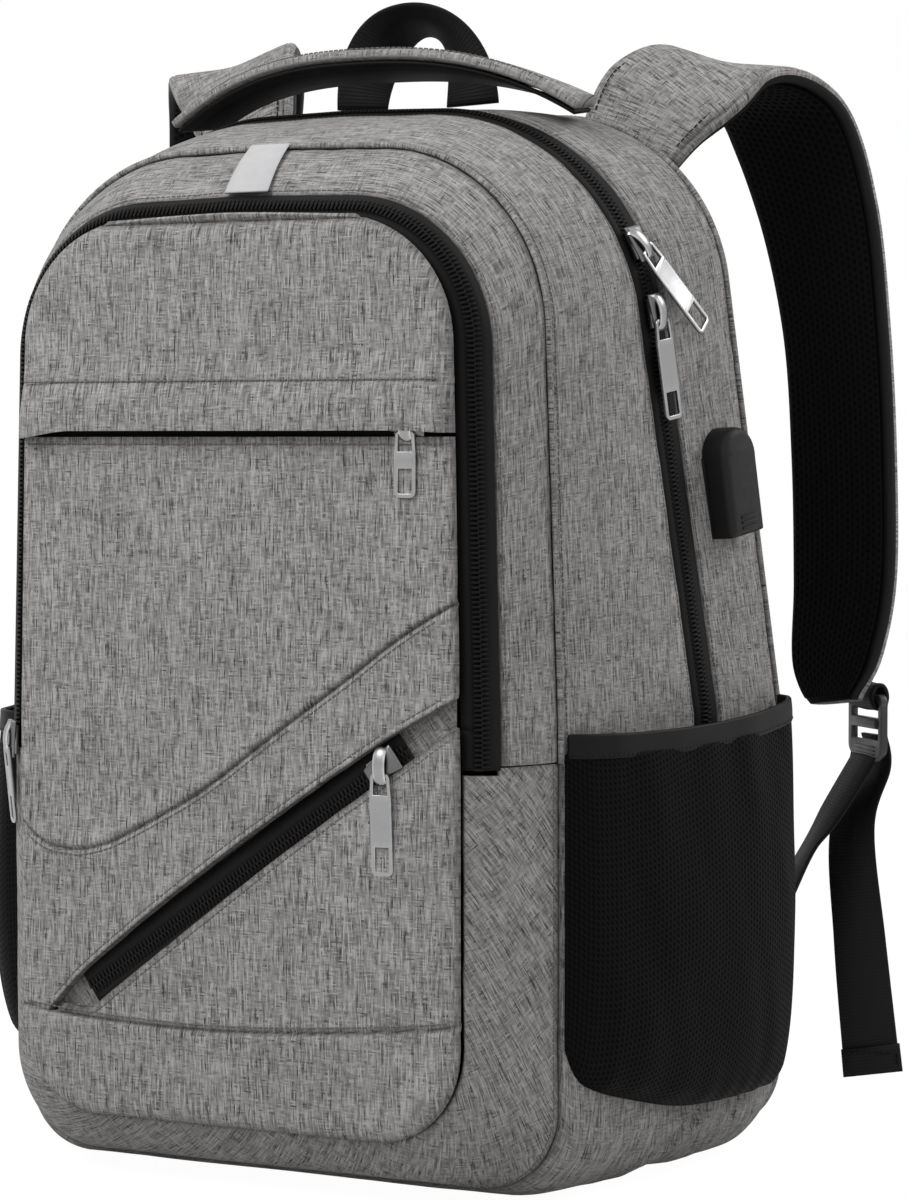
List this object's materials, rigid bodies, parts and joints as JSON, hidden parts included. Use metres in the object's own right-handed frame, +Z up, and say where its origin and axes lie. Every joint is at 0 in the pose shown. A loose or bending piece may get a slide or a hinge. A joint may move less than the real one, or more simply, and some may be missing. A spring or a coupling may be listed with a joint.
{
  "type": "laptop backpack",
  "caption": "Tall soft laptop backpack with a front organiser, a diagonal zip pocket, mesh side pockets, a charging port hood, a top handle and padded shoulder straps.",
  "frame": {"origin": "on the floor under the middle of the bag's bottom", "axes": "+X to the bag's right as it is seen from the front (the charging port side), -Y out of the front organiser, +Y towards the wearer's back, +Z up"},
  "size_m": [0.3724, 0.2846, 0.491],
  "materials": {
    "grey_fabric": "heathered grey polyester, dull",
    "mesh": "black air mesh, dull",
    "webbing": "black woven webbing",
    "zip_tape": "black woven tape with a nylon coil",
    "gunmetal": "plated gunmetal, satin",
    "plastic": "black moulded plastic",
    "rubber": "black rubber, dull",
    "reflective": "silver grey reflective tape",
    "lining": "dark grey lining cloth",
    "board": "stiffening board"
  },
  "bodies": {
    "bag": {"lower_wrap": "grey_fabric", "lower_front_gusset": "grey_fabric", "front_panel_lower": "grey_fabric", "divider_lower": "lining", "back_panel": "mesh", "laptop_sleeve": "lining", "base_board": "board", "rear_gusset": "grey_fabric", "main_zip_rear": "zip_tape", "zip_foot_right": "zip_tape", "zip_foot_left": "zip_tape", "diag_zip": "zip_tape", "side_pocket_right": "mesh", "side_pocket_left": "mesh", "pocket_hem_right": "webbing", "pocket_hem_left": "webbing", "usb_hood": "rubber", "usb_socket": "gunmetal", "usb_tongue": "plastic", "strap_root_right": "grey_fabric", "strap_root_left": "grey_fabric", "strap_anchor_right": "grey_fabric", "strap_anchor_left": "grey_fabric"},
    "front_half": {"front_gusset": "grey_fabric", "mid_gusset": "grey_fabric", "crease_piping": "grey_fabric", "reflective_tab": "reflective", "front_zip_outer": "zip_tape", "divider_upper": "lining", "main_zip_front": "zip_tape"},
    "front_flap": {"front_panel_mid": "grey_fabric", "front_panel_top": "grey_fabric", "flap_zip": "zip_tape", "front_zip_inner": "zip_tape"},
    "main_slider_upper": {"slider_main_upper": "gunmetal"},
    "main_pull_upper": {"pull_main_upper": "gunmetal"},
    "main_slider_lower": {"slider_main_lower": "gunmetal"},
    "main_pull_lower": {"pull_main_lower": "gunmetal"},
    "front_slider": {"slider_front": "gunmetal"},
    "front_pull": {"pull_front": "gunmetal"},
    "diagonal_slider": {"slider_diagonal": "gunmetal"},
    "diagonal_pull": {"pull_diagonal": "gunmetal"},
    "flap_slider": {"slider_flap": "gunmetal"},
    "flap_pull": {"pull_flap": "gunmetal"},
    "handle": {"carry_handle": "grey_fabric", "carry_handle_underside": "webbing"},
    "loop": {"haul_loop": "webbing"},
    "shoulder_strap_right": {"strap_right": "grey_fabric", "strap_lining_right": "mesh", "buckle_tab_right": "webbing", "lower_webbing_right": "webbing"},
    "strap_buckle_right": {"buckle_right": "plastic"},
    "strap_tail_right": {"tail_right": "webbing"},
    "shoulder_strap_left": {"strap_left": "grey_fabric", "strap_lining_left": "mesh", "buckle_tab_left": "webbing", "lower_webbing_left": "webbing"},
    "strap_buckle_left": {"buckle_left": "plastic"},
    "strap_tail_left": {"tail_left": "webbing"}
  },
  "joints": [
    {"name": "main_opening", "type": "hinge", "parent": "bag", "child": "front_half", "pos_m": [0, -0.098, 0.19], "axis": [1, 0, 0], "range_deg": [0, 25]},
    {"name": "organiser_opening", "type": "hinge", "parent": "front_half", "child": "front_flap", "pos_m": [0, -0.098, 0.19], "axis": [1, 0, 0], "range_deg": [0, 110]},
    {"name": "upper_slider_travel", "type": "hinge", "parent": "bag", "child": "main_slider_upper", "pos_m": [0.04002, 0.01702, 0.34701], "axis": [0, -0.9903, -0.1386], "range_deg": [0, 48]},
    {"name": "upper_pull_swing", "type": "hinge", "parent": "main_slider_upper", "child": "main_pull_upper", "pos_m": [0.12971, 0.01128, 0.38253], "axis": [0.0355, -0.8051, -0.592], "range_deg": [0, 150]},
    {"name": "lower_slider_travel", "type": "slide", "parent": "bag", "child": "main_slider_lower", "axis": [-0.0916, -0.1381, 0.9862], "range_m": [-0.11, 0]},
    {"name": "lower_pull_swing", "type": "hinge", "parent": "main_slider_lower", "child": "main_pull_lower", "pos_m": [0.13638, 0.01523, 0.35432], "axis": [-0.1598, -0.9755, -0.1514], "range_deg": [0, 150]},
    {"name": "front_slider_travel", "type": "slide", "parent": "bag", "child": "front_slider", "axis": [0.0234, 0, 0.9997], "range_m": [0, 0.15]},
    {"name": "front_pull_swing", "type": "hinge", "parent": "front_slider", "child": "front_pull", "pos_m": [-0.11066, -0.09148, 0.179], "axis": [-0.7399, 0.6727, 0], "range_deg": [0, 150]},
    {"name": "diagonal_slider_travel", "type": "slide", "parent": "bag", "child": "diagonal_slider", "axis": [0.8166, 0, 0.5772], "range_m": [-0.155, 0]},
    {"name": "diagonal_pull_swing", "type": "hinge", "parent": "diagonal_slider", "child": "diagonal_pull", "pos_m": [0.07002, -0.1015, 0.17565], "axis": [1, 0, 0], "range_deg": [-150, 0]},
    {"name": "flap_slider_travel", "type": "slide", "parent": "front_flap", "child": "flap_slider", "axis": [1, 0, 0], "range_m": [-0.155, 0]},
    {"name": "flap_pull_swing", "type": "hinge", "parent": "flap_slider", "child": "flap_pull", "pos_m": [0.08, -0.099, 0.309], "axis": [-1, 0, 0], "range_deg": [0, 22]},
    {"name": "handle_swing", "type": "hinge", "parent": "bag", "child": "handle", "pos_m": [0, 0.034, 0.442], "axis": [1, 0, 0], "range_deg": [-8, 18]},
    {"name": "loop_swing", "type": "hinge", "parent": "bag", "child": "loop", "pos_m": [0, 0.058, 0.446], "axis": [1, 0, 0], "range_deg": [-70, 8]},
    {"name": "strap_swing_right", "type": "hinge", "parent": "bag", "child": "shoulder_strap_right", "pos_m": [0.096, 0.078, 0.426], "axis": [0.1018, 0.0735, -0.9921], "range_deg": [-25, 14]},
    {"name": "buckle_tilt_right", "type": "hinge", "parent": "shoulder_strap_right", "child": "strap_buckle_right", "pos_m": [0.1685, 0.1674, 0.188], "axis": [0.7239, -0.6899, 0], "range_deg": [0, 42]},
    {"name": "tail_swing_right", "type": "hinge", "parent": "strap_buckle_right", "child": "strap_tail_right", "pos_m": [0.17064, 0.16964, 0.1725], "axis": [0.7239, -0.6899, 0], "range_deg": [-4, 90]},
    {"name": "strap_swing_left", "type": "hinge", "parent": "bag", "child": "shoulder_strap_left", "pos_m": [-0.096, 0.078, 0.426], "axis": [0.1018, -0.0735, 0.9921], "range_deg": [-25, 14]},
    {"name": "buckle_tilt_left", "type": "hinge", "parent": "shoulder_strap_left", "child": "strap_buckle_left", "pos_m": [-0.1685, 0.1674, 0.188], "axis": [0.7239, 0.6899, 0], "range_deg": [0, 42]},
    {"name": "tail_swing_left", "type": "hinge", "parent": "strap_buckle_left", "child": "strap_tail_left", "pos_m": [-0.17064, 0.16964, 0.1725], "axis": [0.7239, 0.6899, 0], "range_deg": [-4, 90]}
  ]
}
